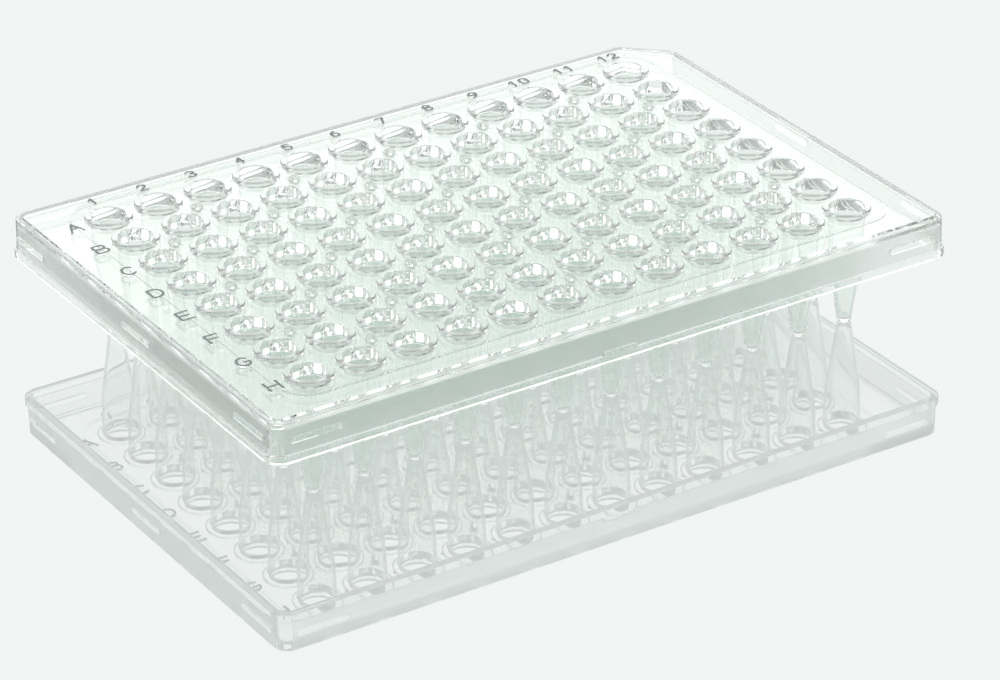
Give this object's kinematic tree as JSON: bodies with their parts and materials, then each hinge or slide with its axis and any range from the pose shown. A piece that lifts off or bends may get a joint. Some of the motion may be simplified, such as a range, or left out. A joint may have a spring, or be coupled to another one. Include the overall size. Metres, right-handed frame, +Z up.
{
  "type": "well plate",
  "caption": "Clear plastic plate with a grid of thin-walled conical wells in a flat deck, raised well rims, a short skirt with a foot band, and a cut corner.",
  "frame": {"origin": "on the surface that the tube tips stand on, under the middle of the grid of wells", "axes": "+X along the numbered columns from 1 to 12, +Y towards row A, +Z up out of the wells"},
  "size_m": [0.1246, 0.085, 0.0205],
  "materials": {
    "clear_plastic": "clear, glossy, faintly green-white"
  },
  "bodies": {
    "root": {"well_plate": "clear_plastic"}
  },
  "joints": []
}
